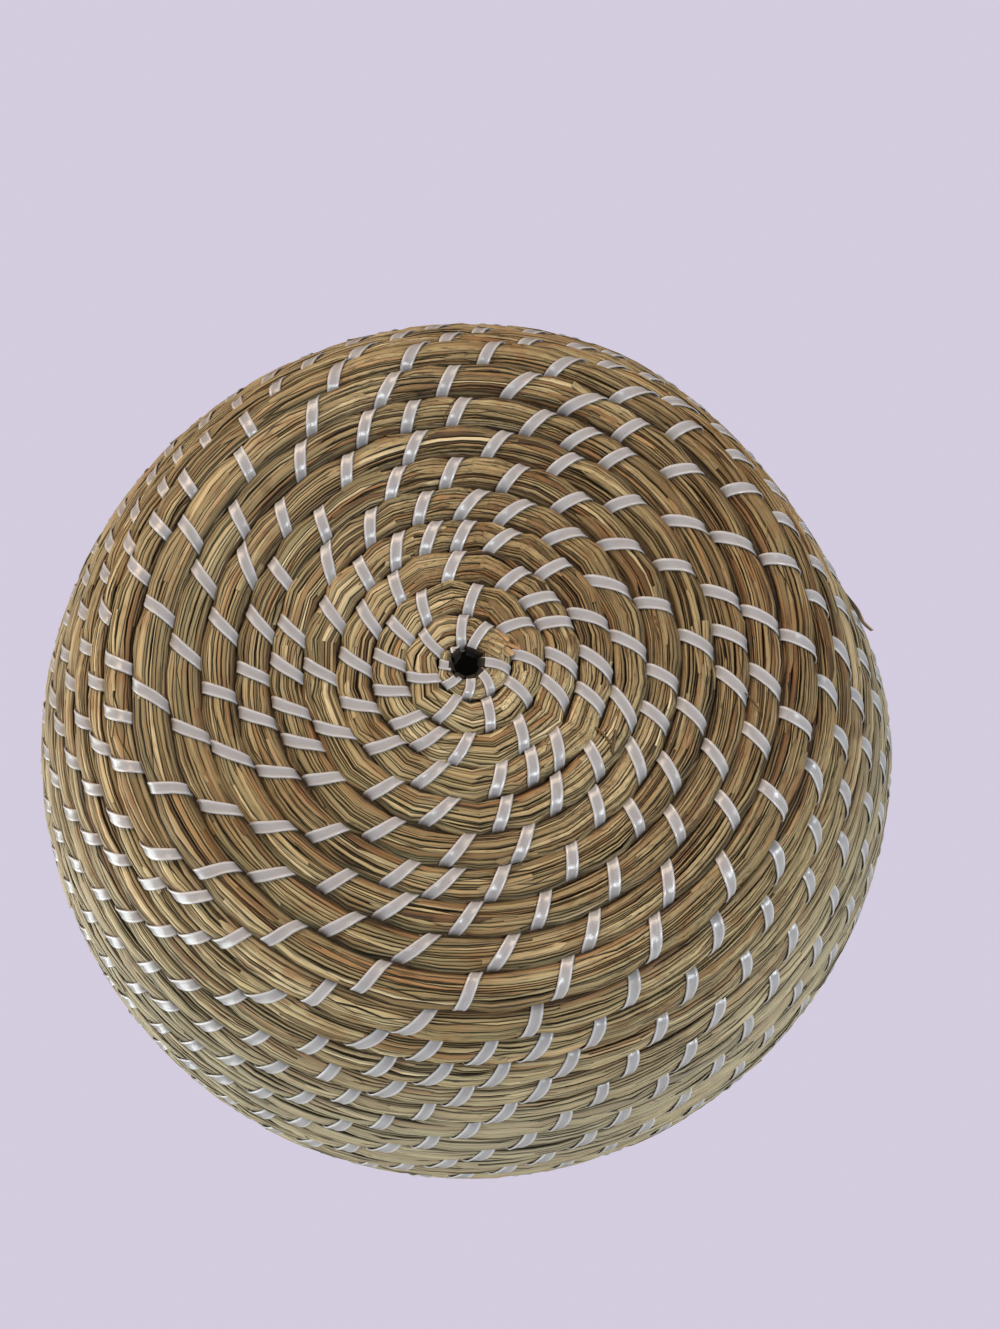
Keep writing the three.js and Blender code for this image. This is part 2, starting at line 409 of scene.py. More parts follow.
def addNode(tree, kind, inputs={}, **settings):
    node = tree.nodes.new(kind)
    for key, value in settings.items():
        setattr(node, key, value)
    feed(tree, node, inputs)
    return node


def addParts(tree, vector):
    parts = addNode(tree, "ShaderNodeSeparateXYZ", {"Vector": vector})
    return [parts.outputs[axis] for axis in "XYZ"]


def readAttribute(tree, name):  # the vector, and its three numbers
    vector = addNode(tree, "ShaderNodeAttribute", attribute_name=name).outputs["Vector"]
    return vector, *addParts(tree, vector)


def addPlace(tree):
    return addNode(tree, "ShaderNodeTexCoord").outputs["Object"]


def addSize(tree, value):  # a number without its sign
    return addNode(tree, "ShaderNodeMath", {0: value}, operation="ABSOLUTE").outputs["Value"]


def addNoise(tree, vector, scale, detail=3.0, roughness=0.55):
    inputs = {"Vector": vector, "Scale": scale, "Detail": detail, "Roughness": roughness}
    return addNode(tree, "ShaderNodeTexNoise", inputs).outputs["Fac"]


def addMapping(tree, vector, scale):
    return addNode(tree, "ShaderNodeMapping", {"Vector": vector, "Scale": scale}).outputs["Vector"]


def addRamp(tree, value, stops):
    ramp = addNode(tree, "ShaderNodeValToRGB")
    points = ramp.color_ramp.elements
    while len(points) < len(stops):
        points.new(0.5)
    for point, (place, colour) in zip(points, stops):
        point.position = place
        point.color = (*colour, 1)
    tree.links.new(value, ramp.inputs["Fac"])
    return ramp.outputs["Color"]


def addGreyRamp(tree, value, stops):
    return addRamp(tree, value, [(place, (grey,) * 3) for place, grey in stops])


def addMix(tree, kind, share, first, second):
    mix = addNode(tree, "ShaderNodeMix", {"Factor": share}, data_type="RGBA", blend_type=kind)
    colourInputs = [s for s in mix.inputs if s.type == "RGBA"]
    for socket, value in zip(colourInputs, (first, second)):
        if isinstance(value, tuple):
            socket.default_value = (*value, 1)
        else:
            tree.links.new(value, socket)
    return [s for s in mix.outputs if s.type == "RGBA"][0]


def addTint(tree, kind, colour, tint, value, stops):  # as strong as the value makes it
    return addMix(tree, kind, addGreyRamp(tree, value, stops), colour, tint)


def addRadius(tree, place):  # from the axis of the basket
    flat = addMapping(tree, place, (1, 1, 0))
    return addNode(tree, "ShaderNodeVectorMath", {0: flat}, operation="LENGTH").outputs["Value"]


def addBump(tree, height, strength, distance):
    inputs = {"Height": height, "Strength": strength, "Distance": distance}
    return addNode(tree, "ShaderNodeBump", inputs).outputs["Normal"]


# Dried grass: tan and olive blades, some golden or russet, fluted along their length, with painted
# shade along their uneven rims and a painted sheen on the flutes. Painted shade darkens it in the
# grooves and beside the stitches, and painted light makes it paler and greyer up the wall.
grassLook = {
    "tones": [
        (0.0, (0.075, 0.042, 0.018)),
        (0.2, (0.165, 0.110, 0.049)),
        (0.5, (0.300, 0.220, 0.108)),
        (0.8, (0.455, 0.352, 0.190)),
        (1.0, (0.630, 0.505, 0.305)),
    ],
    "rust": (0.78, 0.52, 0.38),
    "olive": (0.225, 0.200, 0.105),
    "blotch": (0.265, 0.125, 0.046),
    "blotchScale": (22, 120, 57),  # along, across and by tone
    "patch": (0.250, 0.115, 0.042),
    "patchScale": 85.0,
    "dusk": (0.72, 0.58, 0.44),
    "duskScale": 16.0,
    "fluteScale": (34, 2300, 171),
    "wallLightColour": (0.375, 0.338, 0.245),
    "wallLightHeights": [(0.015, 0.0), (0.06, 0.58)],  # painted light, metres up the wall
    "mildew": (0.42, 0.43, 0.42),
    "mildewScale": 42.0,
    "rim": [(0.0, 0.02), (0.11, 0.25), (0.2, 1.0)],  # painted shade between blades, millimetres from the rim
    "faintScale": (70, 0, 57),
    "fainter": [(0.015, 0.78), (0.06, 1.0)],  # metres from the axis
    "groove": (0.13, 0.08, 0.05),
    # painted shade in the hole, metres from the axis
    "hole": [(0.0045, 0.02), (0.0052, 1.0)],
    "gloss": 0.32,
    "relief": 0.22 * mm,
}


def makeGrassMaterial():
    look = grassLook
    material, tree, shader = newMaterial("driedGrass")
    blade, along, across, tone = readAttribute(tree, "blade")
    edge, fromRim, paintedShade, hue = readAttribute(tree, "edge")
    place = addPlace(tree)
    radius, height = addRadius(tree, place), addParts(tree, place)[2]
    colour = addRamp(tree, tone, look["tones"])
    colour = addTint(tree, "MULTIPLY", colour, look["rust"], hue, [(0.0, 0.8), (0.2, 0.0)])
    colour = addTint(tree, "MIX", colour, look["olive"], hue, [(0.76, 0.0), (1.0, 0.75)])
    blotches = addNoise(tree, addMapping(tree, blade, look["blotchScale"]), 1.0, 2.0)
    colour = addTint(tree, "MIX", colour, look["blotch"], blotches, [(0.54, 0.0), (0.72, 0.5)])
    patches = addNoise(tree, place, look["patchScale"], 2.0)
    colour = addTint(tree, "MIX", colour, look["patch"], patches, [(0.55, 0.0), (0.7, 0.5)])
    regions = addNoise(tree, place, look["duskScale"], 2.0)
    colour = addTint(tree, "MULTIPLY", colour, look["dusk"], regions, [(0.42, 0.0), (0.68, 0.6)])
    flute = addNoise(tree, addMapping(tree, blade, look["fluteScale"]), 1.0, 4.0, 0.7)
    # fluted grain, its dark lines the blade's own and its bright streaks a painted sheen
    grainAndSheen = addGreyRamp(tree, flute, [(0.35, 0.16), (0.43, 0.86), (0.68, 1.3)])
    colour = addMix(tree, "MULTIPLY", 1.0, colour, grainAndSheen)
    # painted light: paler and greyer up the wall
    colour = addTint(tree, "MIX", colour, look["wallLightColour"], height, look["wallLightHeights"])
    spots = addNoise(tree, place, look["mildewScale"], 3.0)
    colour = addTint(tree, "MULTIPLY", colour, look["mildew"], spots, [(0.66, 0.0), (0.74, 0.7)])
    faint = addNoise(tree, addMapping(tree, blade, look["faintScale"]), 1.0, 1.0)
    faint = addGreyRamp(tree, faint, [(0.36, 0.65), (0.52, 1.0)])
    fainter = addGreyRamp(tree, radius, look["fainter"])  # the painted rim shade, fainter towards the hole
    rimShadeStrength = addMix(tree, "MULTIPLY", 1.0, faint, fainter)
    # painted shade along each blade's rims, where it meets its neighbours
    colour = addMix(tree, "MULTIPLY", rimShadeStrength, colour, addGreyRamp(tree, fromRim, look["rim"]))
    # painted shade: darker and browner in the grooves, beside the stitches and towards stem roots
    colour = addMix(tree, "MULTIPLY", paintedShade, colour, look["groove"])
    # painted shade: black where the hole is
    colour = addMix(tree, "MULTIPLY", 1.0, colour, addGreyRamp(tree, radius, look["hole"]))
    feed(tree, shader, {
        "Base Color": colour,
        "Roughness": addGreyRamp(tree, flute, [(0.25, 0.75), (0.7, 0.48)]),
        "Specular IOR Level": look["gloss"],
        "Normal": addBump(tree, flute, 0.6, look["relief"]),
    })
    return material


# Painted shade: the grass deep in the bundle, dark as its own shade, and black in the hole.
def makeShadeMaterial():
    material, tree, shader = newMaterial("innerGrassShade")
    place = addPlace(tree)
    fine = addNoise(tree, place, 900.0, 3.0)
    colour = addRamp(tree, fine, [(0.3, (0.030, 0.017, 0.007)), (0.7, (0.110, 0.065, 0.028))])
    # painted shade, black in the hole
    inHole = addGreyRamp(tree, addRadius(tree, place), [(0.0055, 0.04), (0.009, 1.0)])  # metres
    colour = addMix(tree, "MULTIPLY", 1.0, colour, inHole)
    bump = addBump(tree, fine, 0.5, 0.3 * mm)
    feed(tree, shader, {"Base Color": colour, "Roughness": 0.9, "Normal": bump})
    return material


# Milky plastic strip with paler rims and faint draw lines along it.
def makeStripMaterial():
    material, tree, shader = newMaterial("milkyStrip")
    strip, along, side, shaded = readAttribute(tree, "strip")
    colour = addRamp(tree, addSize(tree, side), [
        (0.0, (0.345, 0.328, 0.340)),
        (0.5, (0.360, 0.342, 0.354)),
        (0.8, (0.540, 0.512, 0.524)),
        (1.0, (0.340, 0.320, 0.326)),
    ])
    lines = addNoise(tree, addMapping(tree, strip, (30, 4.5, 0)), 1.0, 3.0)
    cloudy = addNoise(tree, addMapping(tree, strip, (160, 0.8, 0)), 1.0, 2.0)
    drawn = addGreyRamp(tree, lines, [(0.3, 0.84), (0.7, 1.06)])
    colour = addMix(tree, "MULTIPLY", 1.0, colour, drawn)
    colour = addTint(tree, "MULTIPLY", colour, (0.84, 0.76, 0.70), cloudy, [(0.45, 0.0), (0.75, 0.5)])
    colour = addMix(tree, "MULTIPLY", shaded, colour, (0.10, 0.08, 0.07))
    feed(tree, shader, {
        "Base Color": colour,
        "Roughness": addGreyRamp(tree, lines, [(0.3, 0.34), (0.7, 0.18)]),
        "Specular IOR Level": 0.5,
        "Subsurface Weight": 0.2,
        "Subsurface Radius": (1.0, 0.85, 0.85),
        "Subsurface Scale": 0.8 * mm,
        "Normal": addBump(tree, lines, 0.35, 0.12 * mm),
    })
    return material


grassMaterial = makeGrassMaterial()
shadeMaterial = makeShadeMaterial()
stripMaterial = makeStripMaterial()
print("materials: grass, inner grass, strip")


# Strands of grass lie side by side round the bundle, and a few loose blades lie on them. Their joints
# fall four to a gap: under a stitch, at the corner in the gap, and between the two.
blades = {
    "segments": 8,  # two gaps
    "jointsPerGap": 4,
    "outsideLanes": 17,
    "insideLanes": 13,
    "widthSpread": 0.52,
    "widthKept": 0.8,  # a strand keeps much of its width from stitch to stitch
    "widthNew": 0.6,
    "widest": 0.7,  # above the middle width, as a power of e
    "narrowest": 0.02,  # angle round the bundle
    "bow": 0.55,  # their rims part and meet between stitches
    "dipShare": 0.05,  # and here and there one dips under its neighbours
    "dip": 0.1,
    "slitShare": 0.14,  # some rims open into a dark slit
    "slit": (0.1 * mm, 0.3 * mm),
    "level": (0.955, 0.995),  # share of the bundle's size
    "levelUnderStitch": 0.97,
    "levelRoom": 0.2,  # what may stand up beyond that, away from the stitches
    "crown": (0.05 * mm, 0.2 * mm),
    "shoulder": 0.2 * mm,  # width of the dark edge
    "shoulderSpread": 0.4,
    "shoulderLess": 0.3,  # narrower at the hole
    "shoulderRange": (0.3, 0.92),  # share of the half width
    "depth": 0.6 * mm,
    "root": 1.0 * mm,
    "pressed": 0.6,  # height left under a stitch
    "roll": 0.3,
    "loosePerGap": 1.7,
    "looseLength": (0.25, 0.8),  # share of two gaps
    "looseWidth": (0.7 * mm, 2.4 * mm),
    "looseLevel": (0.99, 1.01),
    "looseDrift": 0.2,
    "looseMargin": 0.35,  # angle kept clear beside the grooves
    "looseDepth": 0.3 * mm,
    "pointed": 0.3,  # width left at a tip
    "cut": 0.9,
    "cutShare": 0.5,
    "liftShare": 0.3,
    "lift": 0.12,
    "liftSpread": (0.3, 1),
    "liftFrom": 0.7,  # share of the length
    "crumple": 0.004,
    "crumpledRadius": 50 * mm,
    "crumpledMore": 2.0,  # at the hole
    "tone": (0.56, 0.14),  # middle and spread
    "oddShare": 0.22,  # some differ more
    "odd": 2.4,
    "hueShift": 0.2,  # rusty towards the inner groove, olive towards the outer
    "brownAngle": math.radians(335),  # the side that is browner
    "brownShift": 0.14,
    "brownHue": 0.4,
    "paleRadius": 58 * mm,  # paler towards the hole
    "paleShift": 0.23,
    "wallLightShift": 0.1,  # and a little up the wall, painted light
    "grooveNear": 30 * mm,  # the painted groove shade gets wider from here
    "grooveFar": 75 * mm,
    "grooveReach": (0.6, 0.92),
    "openRimShade": 0.2,  # share of the painted groove shade left on the open rim
    # painted shade beside the stitches
    "stitchShade": 0.15,
    "shadeLessAtHole": 0.25,  # less painted shade at the hole
    "patternApart": 5,  # moves one blade's pattern from the next
    "seed": 11,
}
skinRadius = basket["bundle"] / 2 + bundle["proud"]


def bladeTemplate(name):  # one closed blade, six-sided, with sharp rims and ends
    bm = prism(6, blades["segments"])
    for edge in bm.edges:
        atRim = all(-0.6 < v.co.y < -0.4 for v in edge.verts)
        atEnd = all(abs(v.co.z) > 0.49 for v in edge.verts)
        edge.smooth = not (atRim or atEnd)
    return pieceFrom(bm, name)


# Copies of one blade lie on each other until they are laid out. With them come, for each corner
# of one blade, the station along it, the side, and the height round it.
def makeBlades(name, count):
    piece = bladeTemplate(name)
    array = piece.modifiers.new("copies", "ARRAY")
    array.count = count
    array.use_relative_offset = False
    array.use_constant_offset = True
    array.constant_offset_displace = (0, 0, 0)
    evaluated = piece.evaluated_get(bpy.context.evaluated_depsgraph_get())
    mesh = bpy.data.meshes.new_from_object(evaluated)
    piece.modifiers.clear()
    single = piece.data
    piece.data = mesh
    bpy.data.meshes.remove(single)
    mesh.name = name
    x, y, z = coordinatesOf(mesh)[: len(mesh.vertices) // count].T
    station = np.rint((z + 0.5) * blades["segments"]).astype(int)
    return piece, station, np.sign(np.round(x, 3)), y


def finishGrass(piece, points, blade, edge, *nodes):
    setCoordinates(piece.data, points.reshape(-1, 3))
    setAttribute(piece.data, "blade", *blade)
    setAttribute(piece.data, "edge", *edge)
    finishMesh(piece, grassMaterial)
    addPiece(piece, "grass", *nodes)


def planStrands(start, end, lanes, firstLane, rng):  # joints, middle and half width, as angles
    perGap, segments = blades["jointsPerGap"], blades["segments"]
    joints = np.arange(start, math.ceil(end) + 1)
    half = perGap // 2 if firstLane > 0 else 0  # inside, the stitches fall between those outside
    gaps = (joints - half) // perGap - (start - half) // perGap
    sizes = blades["widthSpread"] * rng.normal(0, 1, (lanes, gaps[-1] + 2))
    for number in range(1, gaps[-1] + 2):
        kept, new = sizes[:, number - 1], sizes[:, number]
        sizes[:, number] = blades["widthKept"] * kept + blades["widthNew"] * new
    share = (joints - half) % perGap / perGap
    sizes = np.minimum(sizes, blades["widest"])
    widths = np.exp(sizes[:, gaps] * (1 - share) + sizes[:, gaps + 1] * share)
    widths *= math.pi / widths.sum(axis=0)
    rims = firstLane + np.cumsum(np.vstack([np.zeros(len(joints)), widths]), axis=0)
    between = np.sin(math.pi * share)
    room = np.minimum(widths[:-1], widths[1:])
    bows = rng.uniform(-1, 1, (lanes - 1, gaps[-1] + 1))[:, gaps]
    rims[1:-1] += blades["bow"] * room * between * bows
    isOpen = rng.random((lanes + 1, gaps[-1] + 1)) < blades["slitShare"]
    slits = isOpen * rng.uniform(*blades["slit"], isOpen.shape) / skinRadius
    slits = slits[:, gaps] * between
    dips = (rng.random(widths.shape) < blades["dipShare"]) & (between > 0)
    for lane, joint in np.argwhere(dips):
        low, high = rims[lane : lane + 2, joint]
        left = blades["dip"] * (high - low) * np.array([-0.5, 0.5])
        rims[lane : lane + 2, joint] = (low + high) / 2 + left
    spans = []
    for lane in range(lanes):
        begin = start - (start - half) % perGap - perGap * rng.integers(0, segments // perGap)
        while begin < end:
            spans.append((lane, max(begin, start), min(begin + segments, end)))
            begin += segments
    lane, first, last = np.array([span for span in spans if span[2] > span[1]]).T
    lane = lane.astype(int)
    place = np.linspace(first, last, segments + 1, axis=1)
    low = np.array([np.interp(p, joints, (rims + slits)[k]) for k, p in zip(lane, place)])
    high = np.array([np.interp(p, joints, (rims - slits)[k]) for k, p in zip(lane + 1, place)])
    return place, (low + high) / 2, np.maximum(high - low, blades["narrowest"]) / 2


def planLoose(start, end, firstLane, rng):  # the same for blades that lie on the others
    perGap, segments = blades["jointsPerGap"], blades["segments"]
    count = int(blades["loosePerGap"] * (end - start) / perGap)
    length = segments * rng.uniform(*blades["looseLength"], count)
    first = rng.uniform(start, end - length)
    place = np.linspace(first, first + length, segments + 1, axis=1)
    along = np.linspace(-0.5, 0.5, segments + 1)
    drift = blades["looseDrift"] * rng.normal(0, 1, (count, 1))
    margin = blades["looseMargin"]
    middle = firstLane + rng.uniform(margin, math.pi - margin, (count, 1)) + drift * along
    half = rng.uniform(*blades["looseWidth"], (count, 1)) / 2 / skinRadius
    tips = np.where(rng.random((count, 2)) < blades["cutShare"], blades["cut"], blades["pointed"])
    half = np.repeat(half, segments + 1, axis=1)
    half[:, [0, -1]] *= tips
    return place, middle, half


def layBlades(name, node, place, middle, half, isLoose, rng):
    count, segments = len(place), blades["segments"]
    piece, station, side, upward = makeBlades(name, count)
    along = station / segments

    def vary(low, high):
        return rng.uniform(low, high, (count, 1))

    def crumple(size):  # uneven from joint to joint
        return size * rng.normal(0, 1, (count, segments + 1))[:, station]

    turns = turnAtGap(place / blades["jointsPerGap"])
    radius = rowRadius(turns.mean(axis=1, keepdims=True))
    length = np.ptp(turns, axis=1, keepdims=True) * fullTurn * radius
    nearHole = np.clip(1 - radius / blades["crumpledRadius"], 0, 1)
    uneven = blades["crumple"] * (1 + blades["crumpledMore"] * nearHole)
    halfWidth = half * skinRadius
    inset = blades["shoulder"] * (1 - blades["shoulderLess"] * nearHole)
    inset = inset * np.exp(blades["shoulderSpread"] * rng.normal(0, 1, place.shape))
    shoulder = np.clip(1 - inset / halfWidth, *blades["shoulderRange"])
    share = side * np.where(upward > 0, shoulder[:, station], 1)
    lane = middle[:, station] + half[:, station] * share
    turn = turns[:, station]
    free = 1 - pinchAt(turn, lane)  # under a stitch nothing stands up

    middleTone, spread = blades["tone"]
    spread = spread * np.where(vary(0, 1) < blades["oddShare"], blades["odd"], 1)
    tone = middleTone + spread * rng.normal(0, 1, (count, 1))
    hue = vary(0, 1)
    roll = blades["roll"] * rng.normal(0, 1, (count, 1))
    level = np.where(isLoose, vary(*blades["looseLevel"]), vary(*blades["level"]))
    lifted = isLoose * (vary(0, 1) < blades["liftShare"])
    lifted = lifted * vary(*blades["liftSpread"]) * blades["lift"]
    atTip = np.clip((along - blades["liftFrom"]) / (1 - blades["liftFrom"]), 0, 1)
    raised = lifted * atTip ** 2 + crumple(uneven)
    highest = blades["levelUnderStitch"] + blades["levelRoom"] * free
    level = np.minimum(level + raised * free ** 2, highest)
    depth = np.where(isLoose, blades["looseDepth"], blades["depth"])
    root = np.where(isLoose, blades["looseDepth"], blades["root"])
    height = np.where(upward > 0.9, vary(*blades["crown"]), 0)
    height = np.where(upward < 0, -depth, height)
    height = np.where(upward < -0.9, -root, height)
    pressed = blades["pressed"] + (1 - blades["pressed"]) * free
    proud = height * pressed + roll * share * halfWidth[:, station] * free
    where, out, towardsEdge, towardsFace, pinch = skinAt(turn, lane, level)
    points = placeOnCoil(turn, where + proud * towardsEdge, out + proud * towardsFace)

    browned = np.clip(np.cos(basket["startAngle"] - fullTurn * turn - blades["brownAngle"]), 0, 1)
    face = np.abs(sectionAt(lane, bundle["squareness"] - flatterAt(turn))[1])
    grooveReach = np.interp(radius, [blades["grooveNear"], blades["grooveFar"]], blades["grooveReach"])
    # painted shade, deepest in the grooves and beside the stitches
    inGroove = np.clip(1 - face / grooveReach, 0, 1)
    onRim = (turn > basket["rows"] - 1) & (np.cos(lane) > 0)
    inGroove = inGroove * np.where(onRim, blades["openRimShade"], 1)
    paintedShade = (inGroove + blades["stitchShade"] * pinch) * (1 - blades["shadeLessAtHole"] * nearHole)
    pale = blades["paleShift"] * np.clip(1 - radius / blades["paleRadius"], 0, 1)
    pale = pale + blades["wallLightShift"] * np.clip(turn - basket["baseRows"], 0, 1)
    toneHere = np.clip(tone - blades["brownShift"] * browned + pale, 0, 1)
    distance = along * length + blades["patternApart"] * hue
    fromRim = (1 - np.abs(share)) * halfWidth[:, station] / mm
    hueHere = np.clip(hue + blades["hueShift"] * np.cos(lane), 0, 1)
    hueHere = hueHere * (1 - blades["brownHue"] * browned)
    blade = distance, share * halfWidth[:, station], toneHere
    finishGrass(piece, points, blade, (fromRim, np.clip(paintedShade, 0, 1), hueHere), node)
    return piece


# A dark core of painted shade closes the bundle behind its blades, and reaches a little under the next row.
core = {
    "sides": 10,
    "fill": 0.56,  # half width, as a share of the row
    "endFill": 0.44,  # in the first turn and under the rim
    "thick": 0.72,
    "stepsPerTurn": 60,
    "endInset": 0.004,  # turns
}


def makeCore(name, start, end):
    steps = int((end - start) * core["stepsPerTurn"]) + 1
    piece = pieceFrom(prism(core["sides"], steps), name)
    points = coordinatesOf(piece.data)
    lane = np.arctan2(points[:, 1], points[:, 0])
    turn = start + core["endInset"] + (end - start - 2 * core["endInset"]) * (points[:, 2] + 0.5)
    inner, outer = rowEdges(turn)
    atEnds = (turn < 1) | (turn > basket["rows"] - 1)
    across = np.where(atEnds, core["endFill"], core["fill"]) * (outer - inner) * np.cos(lane)
    centre = (basket["bundle"] - rowThickness(turn)) / 2
    out = centre + core["thick"] * rowThickness(turn) / 2 * np.sin(lane)
    setCoordinates(piece.data, placeOnCoil(turn, (inner + outer) / 2 + across, out))
    finishMesh(piece, shadeMaterial)
    return piece


# The four lengths of the coil: name, node in the frame, first and last turn.
bands = [
    ("base", "base_coil", basket["startTurn"], 9),
    ("lowerWall", "lower_wall_coil", 9, 14),
    ("middleWall", "middle_wall_coil", 14, 19),
    ("rim", "rim_coil", 19, basket["rows"]),
]


def makeGrass(name, node, start, end, lanes, firstLane, seed):
    rng = np.random.default_rng(seed)
    strands = planStrands(start, end, lanes, firstLane, rng)
    loose = planLoose(start, end, firstLane, rng)
    place, middle, half = (np.concatenate(pair) for pair in zip(strands, loose))
    isLoose = np.arange(len(place))[:, None] >= len(strands[0])
    piece = layBlades(name, node, place, middle, half, isLoose, rng)
    print("grass:", name, len(place), "blades", len(piece.data.polygons), "faces")
    return piece


def jointsBetween(start, end):  # a band begins and ends under a stitch, or where the coil does
    perGap = blades["jointsPerGap"]
    first, last = (float(gapAtTurn(turn)) for turn in (start, end))
    first = math.ceil(first * perGap) if start == basket["startTurn"] else perGap * round(first)
    last = last * perGap if end == basket["rows"] else perGap * round(last)
    return first, last


for bandNumber, (bandName, bandNode, bandStart, bandEnd) in enumerate(bands):
    bandSeed = blades["seed"] + 2 * bandNumber
    bandJoints = jointsBetween(bandStart, bandEnd)
    makeGrass(bandName + "Grass", bandNode, *bandJoints, blades["outsideLanes"], 0, bandSeed)
    insideName, insideSeed = bandName + "GrassInside", bandSeed + 1
    inside = makeGrass(insideName, bandNode, *bandJoints, blades["insideLanes"], math.pi, insideSeed)
    coreEnds = [float(turnAtGap(joint / blades["jointsPerGap"])) for joint in bandJoints]
    joinInto(inside, makeCore(bandName + "Core", *coreEnds))


# Stems that have come loose: a few seen plainly, and fine ends all over.
stray = {
    "plain": [  # angle, row, lane, length, width, lift, slant, tone, hue
        (342.5, 15.5, 62, 17 * mm, 2.6 * mm, 0.8, 168, 0.5, 0.02),
        (4.5, 16.0, 75, 8 * mm, 0.7 * mm, 0.8, 150, 0.05, 0.5),
        (268, 8.4, 40, 9 * mm, 1.0 * mm, 0.12, 55, 0.1, 0.03),
        (31, 5.2, 70, 6 * mm, 1.4 * mm, 0.35, 60, 0.12, 0.04),
        (29, 5.2, 85, 5 * mm, 1.0 * mm, 0.25, -40, 0.2, 0.5),
        (33, 5.2, 60, 7 * mm, 1.6 * mm, 0.2, 20, 0.05, 0.5),
        (10, 9.6, 100, 7 * mm, 1.6 * mm, 0.45, 30, 0.3, 0.04),
        (11.5, 9.6, 80, 6 * mm, 1.0 * mm, 0.3, 40, 0.15, 0.5),
    ],
    "fineEnds": 110,
    "fineFrom": 2,  # row
    "finePlace": (0.35, 0.65),  # share of the gap
    "fineMargin": 0.3,  # angle kept clear beside the grooves
    "fineInside": 0.3,  # share inside the basket
    "fineLength": (3 * mm, 7 * mm),
    "fineWidth": (0.25 * mm, 0.5 * mm),
    "fineLift": 0.22,
    "fineSlant": 0.3,
    "fineTone": (0.2, 0.9),
    "level": 0.95,
    "curl": 1.5,
    "taper": 0.35,
    "thick": 0.7,  # share of the half width
    "paleRim": 0.08,  # millimetres of the painted rim shade left out
    # painted shade, darker towards the root
    "rootShade": 0.25,
    "seed": 29,
}


def turnThere(angle, row):  # the place in that row at that angle
    begun = (math.degrees(basket["startAngle"]) - angle) / 360
    return begun + round(row - 0.5 - begun)


def planStems():
    rng = np.random.default_rng(stray["seed"])
    stems = []
    for angle, row, lane, length, width, lift, slant, tone, hue in stray["plain"]:
        turn = turnThere(angle, row)
        stems.append((turn, math.radians(lane), length, width, lift, math.radians(slant), tone, hue))
    ends = np.sort(rng.uniform(stray["fineFrom"] ** 2, basket["rows"] ** 2, stray["fineEnds"])) ** 0.5
    margin = stray["fineMargin"]
    for gap in np.floor(gapAtTurn(ends)):
        turn = turnAtGap(gap + rng.uniform(*stray["finePlace"]))
        lane = rng.uniform(margin, math.pi - margin)
        lane += math.pi if rng.random() < stray["fineInside"] else 0
        length, width = rng.uniform(*stray["fineLength"]), rng.uniform(*stray["fineWidth"])
        slant = rng.choice([0, math.pi]) + rng.normal(0, stray["fineSlant"])
        lift = stray["fineLift"] * rng.random()
        tone, hue = rng.uniform(*stray["fineTone"]), rng.random()
        stems.append((turn, lane, length, width, lift, slant, tone, hue))
    return np.array(stems)


def makeStrayStems():
    stems = planStems()
    piece, station, side, upward = makeBlades("strayStems", len(stems))
    along = station / blades["segments"]
    turn, lane, length, width, lift, slant, tone, hue = (stems[:, i, None] for i in range(8))
    reach = length * along
    turnHere = turn + turnsFor(reach * np.cos(slant), turn)
    laneHere = lane + reach * np.sin(slant) / (basket["bundle"] / 2)
    level = stray["level"] + lift * along ** stray["curl"]
    where, out, towardsEdge, towardsFace, pinch = skinAt(turnHere, laneHere, level)
    half = width / 2 * (1 - stray["taper"] * along)
    beside = half * side * np.cos(slant)
    turnHere = turnHere + turnsFor(half * side * np.sin(slant), turn)
    proud = half * stray["thick"] * upward
    where = where - beside * towardsFace + proud * towardsEdge
    out = out + beside * towardsEdge + proud * towardsFace
    blade = reach + blades["patternApart"] * hue, half * side, tone
    fromRim = (1 - np.abs(side)) * half / mm + stray["paleRim"]
    edge = fromRim, stray["rootShade"] * (1 - along), hue
    finishGrass(piece, placeOnCoil(turnHere, where, out), blade, edge)
    print("stray stems:", len(stems))


makeStrayStems()


# A sheaf of stems cut short beside the hole, lying across the first groove.
sheaf = {
    "stems": [  # root, tip, width, all in millimetres, then tone and hue
        ((5.4, -8.4), (11.4, -5.1), 1.3, 0.90, 0.40),
        ((5.2, -7.0), (10.2, -3.2), 1.2, 0.85, 0.40),
        ((8.2, -9.2), (12.4, -5.9), 1.3, 0.86, 0.03),
        ((9.6, -10.4), (12.9, -7.0), 1.5, 0.90, 0.05),
        ((11.2, -7.0), (16.2, -4.4), 1.4, 0.95, 0.04),
        ((10.6, -6.0), (14.5, -2.6), 1.9, 1.00, 0.07),
        ((4.6, -5.0), (10.5, -1.6), 1.3, 0.66, 0.60),
        ((9.8, -4.8), (13.2, -1.9), 1.1, 0.75, 0.30),
    ],
    "rootHeight": 1.6 * mm,
    "tipHeight": 0.2 * mm,
    "tipSpread": 0.3 * mm,
    "thick": 0.45 * mm,
    "droop": 0.5,  # how soon a stem comes down to its tip's height
    "shoulder": 0.1,  # share of the half width
    # painted shade, darker towards the root
    "rootShade": 0.4,
    "seed": 3,
}


